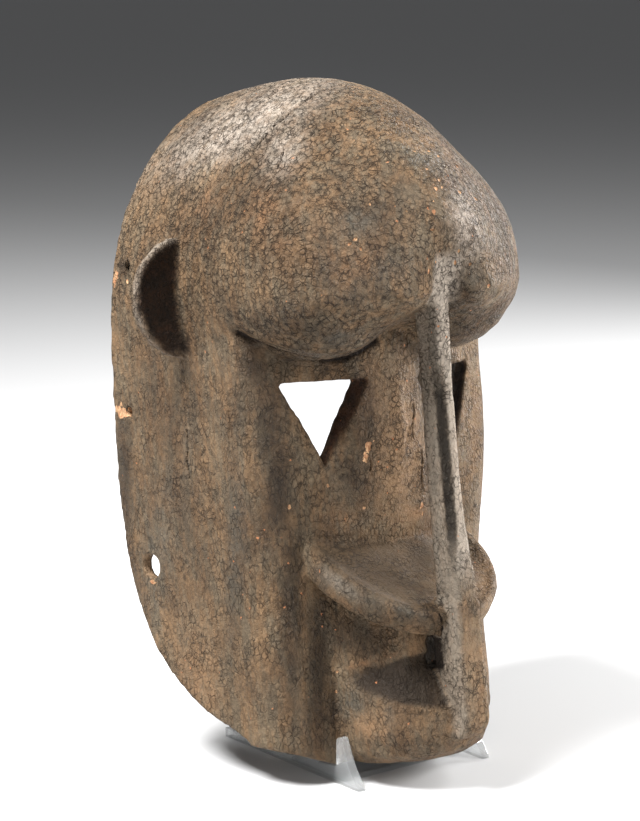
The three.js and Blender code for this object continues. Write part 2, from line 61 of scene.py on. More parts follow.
# The mask's own upright frame, in mm: leaned back on the seats of the stand
LEAN = math.radians(8)
SEAT_Y = -42.5
SEAT_Z = 9.0

# The photograph's camera: its frame and focal length in pixels, its sensor and place in mm
PHOTO_WIDTH = 640
PHOTO_HEIGHT = 821
FOCAL_PX = 2386
SENSOR = 36
CAMERA_AT = Vector((-755.3, -942.5, 401.0))
CAMERA_TURN = Euler((math.radians(79.586), 0, math.radians(-38)))

# The mask's mesh: voxels of the remesh in mm, the angle from which an edge of the CAD solid counts
# as sharp, and the most triangles before and after the places round cracks and chips are refined
VOXEL = 1.0
SHARP_ANGLE = math.radians(28)
BASE_TRIANGLES = 165000
MOST_TRIANGLES = 198000
# How far it stays inside the CAD box, in mm
BOX_MARGIN = 0.01
# Vertices of a CAD mesh that are nearer to each other than this, in metres, are one
MERGE = 1e-6
# Spacing of points along edges in mm, and along lines on the photograph in pixels
MARK_STEP = 1.5

# The mask's measures in its own frame, in mm: x to the right, y to the rear, z up
# Half the width over the side walls in front, what the rear adds to it, their depth and thickness
SHELL_HALF = 79
SHELL_SPREAD = 9
SHELL_DEPTH = 98
WALL = 11
# The dome: height and depth of its centre, and half sizes
DOME_Z = 234
DOME_Y = 45
DOME_RADII = (90, 96, 107)
# The ears: depth and height of their centre, half their thickness, and half sizes
EAR_Y = 43
EAR_Z = 240
EAR_THICK = 7
EAR_RADII = (27, 30)
# The eyes: where their cut faces lie to the side, in depth and in height
EYE_SIDE = (14, 66)
EYE_DEPTH = (-26, 8)
EYE_HEIGHT = (143, 196)
# The shelf: centre, half sizes, height of its top at the centre, and slope
SHELF_X = 1
SHELF_Y = -10
SHELF_RADII = (54, 55)
SHELF_TOP = 108
SHELF_SLOPE = math.tan(math.radians(34))
# The nose bar and the post under it: rear face and half widths. For the hollow along its left front
# edge, the heights over which it fades in, where it is cut and where its painted shade lies, and
# the way into it
BAR_BACK = -41
BAR_HALF = 8.5
POST_HALF = 7.6
BAR_HOLLOW_FADE = (92, 116)
BAR_HOLLOW_CUT = (-4.0, -59.6)
BAR_HOLLOW_SHADE = (-3.9, -59.3)
BAR_HOLLOW_INTO = np.array([0.72, 0.69, 0.0])

# Relief of the mask, in mm
# Lumps left by the tool, as size, height and shift of the noise
LUMPS = [(24, 0.34, 0.0), (11, 0.2, 5.5), (3.2, 0.1, 1.5)]
BROW_CELL = 3.4
BROW_CELL_DEPTH = 0.15
GOUGE_HEIGHT = 0.5
EAR_NICK_DEPTH = 1.1
TORN_HEIGHT = 0.5
FURROW_HEIGHT = 0.75
LEDGE_DEPTH = 0.9
BAR_HOLLOW_DEPTH = 1.7
SHELF_RIM_HEIGHT = 0.7
SHELF_TROUGH_DEPTH = 1.5
SHELF_FOLD_HEIGHT = 0.45
CRACK_DEPTH = 1.3
CRACK_EDGE_HEIGHT = 0.25
CHIP_DEPTH = 0.45
CREASE_DEPTH = 1.9
LIP_HEIGHT = 1.0

# Directions of the bark-like furrows on the dome, in the mask's frame
FURROW_ALONG = np.array([0.71, -0.1, 0.70])
FURROW_OUT = np.array([-0.65, -0.27, 0.71])
FURROW_ACROSS = np.cross(FURROW_ALONG, FURROW_OUT)

# Cells of the crackle in the material, in mm
LARGE_CELL = 3.1
SMALL_CELL = 2.3
SPECK_CELL = 3.4

# Colours of the patina: the crust and its grain
CRUST_DEEP = (0.092, 0.059, 0.035)
CRUST_LIGHT = (0.178, 0.122, 0.075)
GRAIN_LIGHT = (0.29, 0.21, 0.14)
GRAIN_DEEP = (0.032, 0.020, 0.012)
COOL_TINT = (0.90, 0.98, 1.0)
WARM_TINT = (1.12, 1.0, 0.84)
DIM = (0.86, 0.86, 0.86)
BRIGHT = (1.14, 1.14, 1.14)
# Stains, each broken up by the mottle: between which levels of it, from what to what strength.
# The dark layer is partly dirt and partly painted shade
STAIN_LAYERS = [
    ("warm", (0.38, 0.66), (0.1, 0.7), (0.26, 0.135, 0.065)),
    ("blue", (0.7, 0.35), (0.35, 0.85), (0.080, 0.075, 0.060)),
    ("dark", (0.25, 0.7), (0.97, 0.8), (0.024, 0.016, 0.010)),
    ("tan", (0.3, 0.65), (0.35, 0.85), (0.29, 0.180, 0.098)),
]
# Painted shade in creases
CREASE_SHADE_LAYER = ("crease", 0.7, (0.05, 0.032, 0.02))
# Dusty grey, with painted highlights
DUST_AND_HIGHLIGHT = (0.47, 0.405, 0.34)
WORN = (0.29, 0.225, 0.165)
# Places and the strength of their colour, in the order in which they are laid on: a painted
# highlight on the nose bar's front and the ears' rims, the dark top of the shelf, the shelf's
# painted shadow on the chin's bevel, and a painted highlight on the bar's left side
PLACE_LAYERS = [
    ("edge_highlight", 0.75, (0.42, 0.36, 0.295)),
    ("shelf", 0.72, (0.056, 0.036, 0.019)),
    ("ledge_shadow", 0.9, (0.024, 0.016, 0.010)),
    ("flank_highlight", 0.6, (0.250, 0.215, 0.173)),
]
# The ears' dished fronts, painted in shade
EAR_SHADE_COLOURS = ((0.024, 0.009, 0.003), (0.008, 0.004, 0.002))
CUT_COLOURS = ((0.030, 0.014, 0.009), (0.075, 0.030, 0.015))
# Laid on last: the brown wall of the fixing hole, painted shade in the hollow along the nose bar,
# the darker hollow, and deep painted shade through the right eye and in the mouth slot
DEEP_LAYERS = [
    ("bore", 0.9, (0.26, 0.17, 0.10)),
    ("groove_shade", 0.96, (0.022, 0.017, 0.012)),
    ("hollow", 0.6, (0.065, 0.045, 0.030)),
    ("deep", 0.9, (0.008, 0.004, 0.003)),
]
# Lines, specks, fresh wood and cracks
LINE = (0.018, 0.011, 0.007)
SPECK = (0.42, 0.17, 0.075)
FRESH = ((0.42, 0.20, 0.10), (0.60, 0.37, 0.20))
CRACK = (0.016, 0.010, 0.007)

# The clear sheet of the stand, with its polished edges in mm
SHEET_COLOUR = (0.95, 0.975, 0.98, 1)
SHEET_IOR = 1.49
SHEET_TRANSMISSION = 0.8
SHEET_ALPHA = 0.6
SHEET_EDGE = 0.35

# The studio, in metres and watts: name, place, power and size of each light
LIGHTS = [
    ("key", (-0.85, 0.1, 1.6), 75, (0.6, 0.6)),
    ("fill", (-0.6, -1.7, 0.8), 5.5, (0.9, 0.9)),
    ("side", (1.2, -1.1, 0.8), 38, (0.35, 0.6)),
    ("edge", (1.5, 0.15, 0.7), 30, (0.3, 0.8)),
]
LIGHTS_AIM = Vector((0, 0, 0.2))
WORLD_COLOUR = (0.97, 0.98, 1.0, 1)
WORLD_STRENGTH = 0.105
FLOOR_HALF = 60
FLOOR_COLOUR = (0.66, 0.66, 0.66, 1)

# Random numbers for the noise and the cells, on a lattice that repeats
LATTICE_SIZE = 32
rng = np.random.default_rng(SEED)
LATTICE = rng.random((LATTICE_SIZE,) * 3) * 2 - 1
JITTER = rng.random((LATTICE_SIZE,) * 3 + (3,)) * 0.85 + 0.075

# Places on the photograph, in pixels
LONG_CRACKS = [
    [(318, 93), (304, 102), (290, 112), (283, 120), (274, 126)],
    [(267, 134), (259, 144), (252, 154)],
    [(284, 149), (281, 160), (277, 169), (274, 177)],
    [(270, 188), (267, 192), (264, 196)],
    [(234, 137), (225, 146)],
    [(206, 143), (196, 160)],
    [(212, 128), (203, 139)],
    [(438, 608), (441, 617), (443, 625), (441, 636)],
    [(370, 461), (371, 466), (370, 471)],
    [(187, 430), (188, 447), (187, 462), (190, 478)],
    [(229, 412), (230, 425), (229, 438)],
    [(421, 450), (422, 462), (421, 474), (422, 489)],
    [(413, 404), (414, 414), (412, 426), (413, 438)],
]
# Where one form meets another in a sharp crease under the brow lobes, carved in and painted with a
# dark shadow line
CREASES = [
    [
        (237, 333), (253, 341), (270, 348), (293, 355), (313, 359),
        (330, 360), (347, 357), (362, 351), (376, 341),
    ],
]
# Edges that stand out a little above such a crease
LIPS = [
    [
        (238, 325), (253, 332), (270, 340), (293, 347), (313, 351),
        (330, 352), (347, 349), (362, 343), (376, 333),
    ],
    [(312, 563), (330, 583), (350, 599), (372, 611), (400, 622), (430, 629)],
]
# Small chips
CHIPS = [
    (354, 140), (387, 162), (377, 177), (370, 204), (395, 206), (407, 211), (427, 169),
    (415, 151), (429, 151), (438, 156), (457, 166), (439, 180), (436, 189), (442, 187),
    (460, 192), (476, 199), (434, 201), (434, 212), (432, 230), (440, 251), (436, 262),
    (429, 271), (459, 251), (455, 262), (470, 264), (470, 274), (489, 286), (355, 239),
    (350, 244), (361, 249), (345, 519), (374, 441), (290, 506), (328, 485), (365, 508),
    (423, 513), (337, 672), (336, 692), (422, 506),
]
# Larger chips, with half sizes in mm across, in depth and in height
BIG_CHIPS = [
    ((368, 447), (1.7, 2.4, 3.4)),
    ((366, 458), (1.1, 1.8, 3.0)),
    ((153, 582), (2.2, 2.8, 1.2)),
    ((121, 411), (4.0, 5.5, 3.4)),
    ((132, 413), (4.0, 4.5, 2.6)),
    ((115, 279), (4.0, 2.6, 3.8)),
    ((127, 281), (2.0, 1.6, 1.6)),
]
# The large fixing hole on each side, as depth, height and half sizes: its wall shows brown wood
BORE = (83.5, 103, 8.4, 7.6)

# Where the crackle is coarse, besides the brow
COARSE = [(462, 668, 20, 52, 0, 1.0), (395, 445, 24, 70, 0, 0.9), (470, 560, 20, 50, 0, 0.8)]

# Stains, as soft ellipses on the photograph: centre, half sizes, turn in degrees and strength.
# The dark ones are partly dirt and partly painted shade, and the dusty ones carry painted
# highlights
STAINS = {
    # Dusty grey with painted highlights: the dome's upper left, the right lobe and the shelf's lip
    "dust_and_sheen": [
        (248, 122, 98, 26, -28, 1.0),
        (284, 148, 30, 20, -60, 0.7),
        (196, 158, 34, 16, -38, 0.6),
        (466, 228, 14, 36, -12, 0.9),
        (338, 583, 26, 8, 32, 0.3),
    ],
    "blue": [
        (354, 222, 22, 12, -8, 0.9),
        (337, 338, 26, 9, 8, 0.7),
        (413, 157, 27, 9, 22, 0.8),
        (481, 279, 13, 13, 0, 0.7),
        (402, 262, 22, 16, -30, 0.4),
        (400, 607, 40, 9, 24, 0.8),
        (325, 575, 10, 16, 0, 0.7),
        (342, 586, 28, 10, 40, 0.9),
        (370, 602, 24, 7, 26, 0.8),
        (353, 697, 12, 12, 0, 0.6),
        (118, 470, 8, 60, 0, 0.6),
        (448, 480, 5, 90, -6, 0.5),
        (352, 704, 16, 22, 0, 1.0),
        (450, 722, 20, 8, 0, 0.5),
        (158, 560, 14, 70, 6, 0.7),
        (188, 446, 6, 40, 0, 0.6),
        (234, 560, 9, 100, 2, 0.7),
        (388, 716, 7, 22, 0, 0.6),
        (310, 360, 30, 8, 0, 0.3),
    ],
    "warm": [
        (200, 200, 22, 18, 0, 0.6),
        (265, 212, 14, 24, 0, 0.8),
        (282, 243, 14, 10, 0, 0.6),
        (350, 262, 26, 24, 0, 0.55),
        (400, 440, 24, 80, 0, 0.6),
        (420, 512, 22, 7, 0, 1.0),
        (371, 661, 34, 3, -15, 1.0),
        (478, 700, 7, 40, 0, 0.7),
        (412, 538, 20, 8, -10, 0.7),
        (345, 603, 30, 4, 30, 0.6),
        (405, 628, 26, 3, 16, 0.5),
        (373, 726, 17, 13, 0, 0.9),
        (452, 726, 14, 10, 0, 0.7),
        (480, 682, 6, 42, 0, 0.8),
        (198, 672, 20, 56, -12, 0.6),
        (345, 520, 20, 14, 0, 0.4),
        (365, 395, 6, 40, 0, 0.4),
        (416, 640, 10, 14, 0, 0.6),
    ],
    "tan": [
        (400, 450, 24, 84, 0, 1.0),
        (447, 690, 14, 42, 0, 0.5),
        (472, 680, 10, 50, 0, 0.6),
        (415, 643, 9, 15, 0, 1.0),
        (372, 724, 26, 14, 0, 0.6),
        (452, 722, 20, 12, 0, 0.5),
        (486, 580, 10, 40, 0, 1.0),
        (475, 430, 8, 70, 0, 0.5),
        (196, 668, 26, 60, -12, 0.4),
        (150, 190, 30, 50, 0, 0.3),
    ],
    # Partly dirt and partly painted shade: the shelf's shadow on the chin, the nose bar's shadow
    # over the left socket, the shade under the brow lobes and the shelf, and in the holes and the
    # slot
    "dark": [
        (395, 684, 44, 18, 14, 1.0),
        (271, 440, 14, 38, 0, 0.9),
        (352, 590, 30, 12, 34, 0.35),
        (292, 600, 14, 90, 0, 0.8),
        (410, 195, 26, 26, 0, 0.25),
        (290, 600, 10, 60, 0, 0.6),
        (333, 706, 4, 34, 0, 0.9),
        (465, 305, 22, 20, 0, 0.5),
        (322, 344, 30, 8, 6, 0.35),
        (395, 683, 34, 12, 14, 0.9),
        (431, 650, 5, 13, 0, 1.0),
        (254, 345, 20, 6, 26, 0.9),
        (290, 359, 30, 6, 8, 0.7),
        (254, 366, 14, 28, -14, 0.85),
        (124, 268, 5, 8, 0, 1.0),
        (128, 411, 4, 6, 0, 1.0),
        (372, 673, 28, 9, -12, 1.0),
        (448, 710, 14, 6, 30, 0.7),
        (279, 486, 17, 58, 0, 1.0),
        (270, 430, 16, 50, 0, 0.9),
        (395, 205, 34, 44, 20, 0.35),
        (300, 326, 60, 26, 8, 0.45),
        (466, 318, 30, 20, -20, 0.45),
        (124, 470, 9, 70, 0, 0.8),
        (243, 420, 13, 50, 0, 0.35),
        (175, 430, 8, 60, 0, 0.4),
        (318, 660, 14, 100, 0, 1.0),
        (292, 620, 16, 100, 0, 0.8),
        (352, 634, 40, 30, 12, 0.9),
        (372, 566, 64, 22, 22, 1.0),
        (420, 562, 18, 24, 0, 1.0),
        (236, 600, 14, 110, 2, 0.4),
        (365, 430, 11, 66, 4, 0.7),
        (352, 480, 26, 30, 0, 0.6),
        (300, 350, 56, 9, 8, 0.5),
        (262, 400, 14, 40, 0, 0.4),
    ],
}


def smooth(value, low, high):
    """0 below low and 1 above high, with a soft step between."""
    t = np.clip((value - low) / (high - low), 0, 1)
    return t * t * (3 - 2 * t)


def between(value, a, b, c, d):
    """Rises from 0 to 1 between a and b, and falls back between c and d."""
    return smooth(value, a, b) * (1 - smooth(value, c, d))


def bell(distance, width):
    """1 at no distance, and falling away like a bell."""
    return np.exp(-((distance / width) ** 2))


def noise(points, size, shift=0.0):
    """Smooth noise from about -1 to 1, with lumps of about the given size."""
    q = points / size + shift
    cell = np.floor(q).astype(int)
    f = q - cell
    f = f * f * (3 - 2 * f)
    total = np.zeros(len(points))
    for dx in (0, 1):
        for dy in (0, 1):
            for dz in (0, 1):
                corner = (cell + [dx, dy, dz]) % LATTICE_SIZE
                weight = (
                    (f[:, 0] if dx else 1 - f[:, 0])
                    * (f[:, 1] if dy else 1 - f[:, 1])
                    * (f[:, 2] if dz else 1 - f[:, 2])
                )
                total += weight * LATTICE[corner[:, 0], corner[:, 1], corner[:, 2]]
    return total


def cell_borders(points, size):
    """How far each point is from the border of its cell, from 0 at the border."""
    q = points / size
    base = np.floor(q).astype(int)
    best = np.full(len(points), 9.0)
    second = np.full(len(points), 9.0)
    steps = (-1, 0, 1)
    for offset in [(a, b, c) for a in steps for b in steps for c in steps]:
        cell = base + offset
        wrapped = cell % LATTICE_SIZE
        seed = cell + JITTER[wrapped[:, 0], wrapped[:, 1], wrapped[:, 2]]
        d = np.linalg.norm(q - seed, axis=1)
        second = np.minimum(second, np.maximum(best, d))
        best = np.minimum(best, d)
    return second - best


def turn_to_mask(vectors):
    """Directions in the world to the mask's own upright frame."""
    c, s = math.cos(LEAN), math.sin(LEAN)
    x, y, z = vectors.T
    return np.column_stack((x, y * c - z * s, y * s + z * c))


def to_mask(points):
    """World millimetres to the mask's own upright frame."""
    return turn_to_mask(points - [0, SEAT_Y, SEAT_Z])


def vector_array(mesh, name):
    flat = np.empty(len(mesh.vertices) * 3, np.float32)
    mesh.vertices.foreach_get(name, flat)
    return flat.reshape(-1, 3).astype(float)


def vertex_array(mesh):
    return vector_array(mesh, "co") / MM


def normal_array(mesh):
    return vector_array(mesh, "normal")


def edge_array(mesh):
    flat = np.empty(len(mesh.edges) * 2, np.int32)
    mesh.edges.foreach_get("vertices", flat)
    return flat.reshape(-1, 2)


def set_vertices(mesh, points):
    mesh.vertices.foreach_set("co", (points * MM).astype(np.float32).ravel())
    mesh.update()


def set_attribute(mesh, name, values):
    attribute = mesh.attributes.get(name) or mesh.attributes.new(name, "FLOAT", "POINT")
    attribute.data.foreach_set("value", np.asarray(values, np.float32))


def apply_modifiers(obj):
    graph = bpy.context.evaluated_depsgraph_get()
    mesh = bpy.data.meshes.new_from_object(obj.evaluated_get(graph))
    obj.modifiers.clear()
    old = obj.data
    obj.data = mesh
    bpy.data.meshes.remove(old)


def edge_count(edges, size):
    """How many edges meet at each vertex."""
    return np.bincount(edges.ravel(), minlength=size).astype(float)


def neighbour_mean(values, edges, degree):
    total = np.empty_like(values)
    for k in range(values.shape[1]):
        column = values[:, k]
        total[:, k] = np.bincount(edges[:, 0], column[edges[:, 1]], len(values))
        total[:, k] += np.bincount(edges[:, 1], column[edges[:, 0]], len(values))
    return total / degree[:, None]


def relax(points, edges, weight, rounds):
    """Smoothing that keeps the volume, stronger where weight is."""
    degree = edge_count(edges, len(points))
    w = weight[:, None]
    for _ in range(rounds):
        for step in (0.6, -0.62):
            points = points + step * w * (neighbour_mean(points, edges, degree) - points)
    return points


def soften(values, edges, rounds):
    """Spreads values over their neighbours."""
    degree = edge_count(edges, len(values))
    for _ in range(rounds):
        values = neighbour_mean(values[:, None], edges, degree)[:, 0]
    return values


def feature_points(mesh):
    """Points along the sharp edges of the CAD solid, in mm."""
    bm = bmesh.new()
    bm.from_mesh(mesh)
    bmesh.ops.remove_doubles(bm, verts=bm.verts, dist=MERGE)
    found = []
    for edge in bm.edges:
        if len(edge.link_faces) == 2 and edge.calc_face_angle(0) > SHARP_ANGLE:
            a, b = edge.verts[0].co / MM, edge.verts[1].co / MM
            count = max(1, int((b - a).length / MARK_STEP))
            found += [a.lerp(b, i / count) for i in range(count + 1)]
    bm.free()
    return found


def distance_to(points, marks, reach):
    """Distance from each point to the nearest mark, up to reach."""
    tree = KDTree(len(marks))
    for i, mark in enumerate(marks):
        tree.insert(mark, i)
    tree.balance()
    low = np.min([list(m) for m in marks], axis=0) - reach
    high = np.max([list(m) for m in marks], axis=0) + reach
    result = np.full(len(points), float(reach))
    for i in np.flatnonzero(np.all((points > low) & (points < high), axis=1)):
        result[i] = min(tree.find(points[i])[2], reach)
    return result


def photo_ray(px, py):
    """The direction in which the camera sees a pixel of the photograph."""
    local = Vector(((px - PHOTO_WIDTH / 2) / FOCAL_PX, (PHOTO_HEIGHT / 2 - py) / FOCAL_PX, -1))
    return (CAMERA_TURN.to_matrix() @ local).normalized()


def photo_pixels(points):
    """Where the camera sees each point, in pixels of the photograph."""
    turn = np.array(CAMERA_TURN.to_matrix())
    local = (points - np.array(CAMERA_AT)) @ turn
    depth = -local[:, 2]
    x = PHOTO_WIDTH / 2 + FOCAL_PX * local[:, 0] / depth
    y = PHOTO_HEIGHT / 2 - FOCAL_PX * local[:, 1] / depth
    return np.column_stack((x, y))


def on_surface(tree, px, py):
    """The point of the surface that a pixel of the photograph shows, in mm, or None."""
    return tree.ray_cast(CAMERA_AT, photo_ray(px, py))[0]


def along_surface(tree, line):
    """Points of the surface under a line drawn on the photograph."""
    found = []
    for (x0, y0), (x1, y1) in zip(line, line[1:]):
        count = max(1, int(math.hypot(x1 - x0, y1 - y0) / MARK_STEP))
        for i in range(count + 1):
            t = i / count
            hit = on_surface(tree, x0 + (x1 - x0) * t, y0 + (y1 - y0) * t)
            if hit is not None:
                found.append(hit)
    return found


def surface_tree(mesh):
    """A tree for casting rays on to a mesh, in mm."""
    points = [Vector(p) for p in vertex_array(mesh)]
    mesh.calc_loop_triangles()
    faces = [tuple(t.vertices) for t in mesh.loop_triangles]
    return BVHTree.FromPolygons(points, faces)


def seen_by_camera(points, normals, tree):
    """1 for a point that the camera sees, and 0 for one turned away or hidden."""
    to_camera = np.array(CAMERA_AT) - points
    to_camera /= np.linalg.norm(to_camera, axis=1)[:, None]
    facing = np.einsum("ij,ij->i", to_camera, normals)
    seen = np.zeros(len(points))
    for i in np.flatnonzero(facing > 0.02):
        start = Vector(points[i] + normals[i] * 1.5)
        if tree.ray_cast(start, Vector(to_camera[i]))[0] is None:
            seen[i] = 1
    return seen


# Regions of the mask, each from 0 to 1, from places (and directions) in its own frame

def shell_half(y):
    """Half the width over the side walls, at a depth."""
    return SHELL_HALF + SHELL_SPREAD * smooth(y, 0, SHELL_DEPTH)


def inside_region(q, normals):
    """The hollow behind the face and under the dome."""
    x, y, z = q.T
    hollow = (np.abs(x) < shell_half(y) - WALL + 1.5) & (y > 1.5)
    facing = (normals[:, 1] > -0.2) | (y > 20)
    rx, ry, rz = DOME_RADII
    above = np.maximum(z - DOME_Z, 0)
    dome = (x / rx) ** 2 + ((y - DOME_Y) / ry) ** 2 + (above / rz) ** 2 < 0.9
    return (hollow & facing & (dome | (z < DOME_Z))).astype(float)


def ear_region(q):
    """Both ears, from a little off the wall."""
    x, y, z = q.T
    out = smooth(np.abs(x) - shell_half(y), 0.8, 2.5)
    return out * (np.abs(y - EAR_Y) < EAR_THICK) * (np.abs(z - EAR_Z) < EAR_RADII[1] + 2)


def ear_radius(q):
    """About 1 on the rim of an ear, and 0 in the middle of its root."""
    x, y, z = q.T
    across = (np.abs(x) - shell_half(y) - 1) / EAR_RADII[0]
    return np.hypot(across, (z - EAR_Z) / EAR_RADII[1]) + 0.05 * noise(q, 5.0, 8.5)


def ear_face(q, normals):
    """The dished front of both ears, inside their rims."""
    x, y, _ = q.T
    face = smooth(np.abs(x) - shell_half(y), -0.5, 0.8) * (np.abs(y - EAR_Y) < EAR_THICK)
    return face * smooth(-normals[:, 1], 0.05, 0.3) * (1 - smooth(ear_radius(q), 0.91, 0.95))


def ear_rim(q):
    """The front edge of both ears, painted as a highlight that fades downwards."""
    _, y, z = q.T
    rim = ear_region(q) * smooth(ear_radius(q), 0.89, 0.93)
    rim = rim * (1 - smooth(y, EAR_Y + 0.5, EAR_Y + 3))
    return 0.8 * rim * (0.3 + 0.7 * smooth(z, 222, 244))


def eye_cut(q, normals):
    """The cut faces of both eyes."""
    x, y, z = q.T
    inside = np.ones(len(q), bool)
    for value, (low, high) in ((np.abs(x), EYE_SIDE), (y, EYE_DEPTH), (z, EYE_HEIGHT)):
        inside &= (value > low) & (value < high)
    return inside * (1 - smooth(np.abs(normals[:, 1]), 0.35, 0.65))


def behind_eye(q):
    """Where the hollow shows through the right eye."""
    x, y, z = q.T
    return smooth(x, 20, 34) * (1 - smooth(y, 60, 84)) * between(z, 118, 140, 205, 220)


def slot_region(q):
    """The walls of the mouth slot behind the post."""
    x, y, z = q.T
    return (np.abs(x) < 9.3) & (y > -49) & (np.abs(z - 54.5) < 7.8)


def ledge_region(q):
    """The bevel that leads from the top edge of the chin back to the muzzle."""
    x, y, z = q.T
    depth = np.maximum(-8 - y, 0)
    chin_edge = 41 - 0.32 * depth
    muzzle_edge = 40.5 + 14 * np.minimum(depth / 30, 1)
    post = (np.abs(x) < POST_HALF) & (y < BAR_BACK)
    inside = (np.abs(x) < 39.5) & (depth > 0.5) & ~post
    return inside * smooth(z - chin_edge, 0, 2.5) * (1 - smooth(z - muzzle_edge, -0.6, 0.9))


def shelf_radius(q):
    """1 on the rim of the shelf, and 0 in the middle of its root."""
    return np.hypot((q[:, 0] - SHELF_X) / SHELF_RADII[0], (q[:, 1] - SHELF_Y) / SHELF_RADII[1])


def shelf_region(q):
    """The mouth shelf, with its rim and underside."""
    x, y, z = q.T
    top = SHELF_TOP + (y - SHELF_Y) * SHELF_SLOPE
    near = between(z, top - 24, top - 20, top + 3, top + 6)
    wide = np.abs(x - SHELF_X) < SHELF_RADII[0] + 1
    return near * smooth(-y, 2, 8) * wide * (shelf_radius(q) < 1.04)


def bar_region(q):
    """The nose bar and the post."""
    x, y, z = q.T
    front = (np.abs(x) < BAR_HALF) * (y < BAR_BACK) * smooth(-y, 40, 44)
    return front * (1 - smooth(z, 246, 254))


def groove_region(q):
    """The hollow along the left front edge of the nose bar, painted in shade."""
    x, y, z = q.T
    corner_x, corner_y = BAR_HOLLOW_SHADE
    near = 1 - smooth(np.hypot(x - corner_x, y - corner_y), 2.2, 3.3)
    return near * between(z, *BAR_HOLLOW_FADE, 180, 205)


def bore_region(q, normals):
    """The wall of the large fixing hole."""
    y, z, deep, tall = BORE
    radius = np.hypot((q[:, 1] - y) / deep, (q[:, 2] - z) / tall)
    return (1 - smooth(radius, 0.95, 1.05)) * (1 - smooth(np.abs(normals[:, 0]), 0.5, 0.8))


def brow_region(q):
    """The dome and its lobes, above the face and the side walls."""
    return smooth(q[:, 2] - np.where(q[:, 1] < -8, -40, 0), 205, 250)


def cleft_region(q):
    """The cleft between the lobes, beside the nose bar."""
    x, y, z = q.T
    cleft = smooth(-y, 25, 45) * smooth(z, 215, 235) * (1 - smooth(np.abs(x), 14, 26))
    return cleft * (1 - bar_region(q))


def remeshed_copy(source, name):
    obj = bpy.data.objects.new(name, source.data.copy())
    bpy.context.scene.collection.objects.link(obj)
    obj.data.materials.clear()
    remesh = obj.modifiers.new("remesh", "REMESH")
    remesh.mode = "VOXEL"
    remesh.voxel_size = VOXEL * MM
    apply_modifiers(obj)
    return obj


def smooth_facets(mesh, points, from_edge, lip):
    """Smooths the facets of the solid away, and rounds its edges a little, as if worn."""
    edges = edge_array(mesh)
    weight = 0.05 + 0.95 * smooth(from_edge, 1.5, 7.0)
    weight = np.maximum(weight, 0.9 * lip)
    weight = np.maximum(weight, 0.9 * cleft_region(to_mask(points)))
    points = relax(points, edges, soften(weight, edges, 3), 60)
    points = relax(points, edges, np.full(len(points), 0.7), 2)
    set_vertices(mesh, points)
    return points


def add_relief(mesh, points, from_edge, lip, hollow):
    """Tool marks, the crust's large cells, furrows, torn and worn edges, and the shelf's rim."""
    normals = normal_array(mesh)
    edges = edge_array(mesh)
    q = to_mask(points)
    x, y, z = q.T
    turned = turn_to_mask(normals)

    height = sum(tall * noise(q, size, shift) for size, tall, shift in LUMPS)
    wobble = np.column_stack([noise(q, 5.0, s) for s in (2.5, 7.5, 11.5)]) * 1.3
    border = 1 - smooth(cell_borders(q + wobble, BROW_CELL), 0.0, 0.22)
    open_cells = smooth(noise(q, 8.0, 4.5), -0.35, 0.35)
    height -= BROW_CELL_DEPTH * brow_region(q) * (1 - hollow) * border * open_cells
    height += hollow * (GOUGE_HEIGHT * noise(q * [1.0, 1.0, 0.35], 9, 3.5) - 0.2)
    rough = smooth(from_edge, 5.0, 0.5)
    ear = ear_region(q)
    nicks = np.maximum(noise(q, 4.0, 13.5) + 0.15, 0)
    height -= EAR_NICK_DEPTH * ear * smooth(from_edge, 3.0, 0.5) * nicks
    height += (0.14 + 0.5 * ear) * rough * noise(q, 3.6, 9.5) + 0.22 * rough * noise(q, 8.5, 2.5)
    torn = eye_cut(q, turned) * smooth(np.abs(turned[:, 0]), 0.5, 0.8)
    height += TORN_HEIGHT * soften(torn, edges, 2) * noise(q, 2.8, 3.5)

    # Bark-like furrows on the upper left of the dome, along its drying cracks
    across, along, out = q @ FURROW_ACROSS, q @ FURROW_ALONG, q @ FURROW_OUT
    furrow = np.column_stack((across / 3.4, along / 13.0, out / 6.0))
    upper = smooth(z, 262, 300) * smooth(-x, -30, 20) * (1 - smooth(-x, 70, 88))
    furrows = np.minimum(noise(furrow, 1.0, 4.5) + 0.25, 0.3)
    height += FURROW_HEIGHT * upper * (1 - hollow) * furrows

    # The chin's bevel is set back a little under the edge of the muzzle
    height -= LEDGE_DEPTH * ledge_region(q)

    # The hollow along the left front edge of the nose bar
    corner_x, corner_y = BAR_HOLLOW_CUT
    near = bell(np.hypot(x - corner_x, y - corner_y), 2.4)
    hollowed = between(z, *BAR_HOLLOW_FADE, 176, 196) * BAR_HOLLOW_DEPTH * near
    points = points + hollowed[:, None] * BAR_HOLLOW_INTO

    # The shelf's rim is rolled up round a shallow trough, and has folds
    radius = shelf_radius(q)
    upward = lip * smooth(turned[:, 2], 0.4, 0.8)
    trough = between(radius, 0.3, 0.6, 0.74, 0.9)
    height += upward * (SHELF_RIM_HEIGHT * smooth(radius, 0.8, 0.92) - SHELF_TROUGH_DEPTH * trough)
    around = np.arctan2(SHELF_Y - y, SHELF_X - x)
    folds = noise(np.column_stack((around * 15, z / 11, radius * 3)), 1.0, 6.5)
    rim = lip * smooth(radius, 0.84, 0.96) * (1 - smooth(around, 0.9, 1.4))
    height += SHELF_FOLD_HEIGHT * rim * folds
    set_vertices(mesh, points + normals * height[:, None])


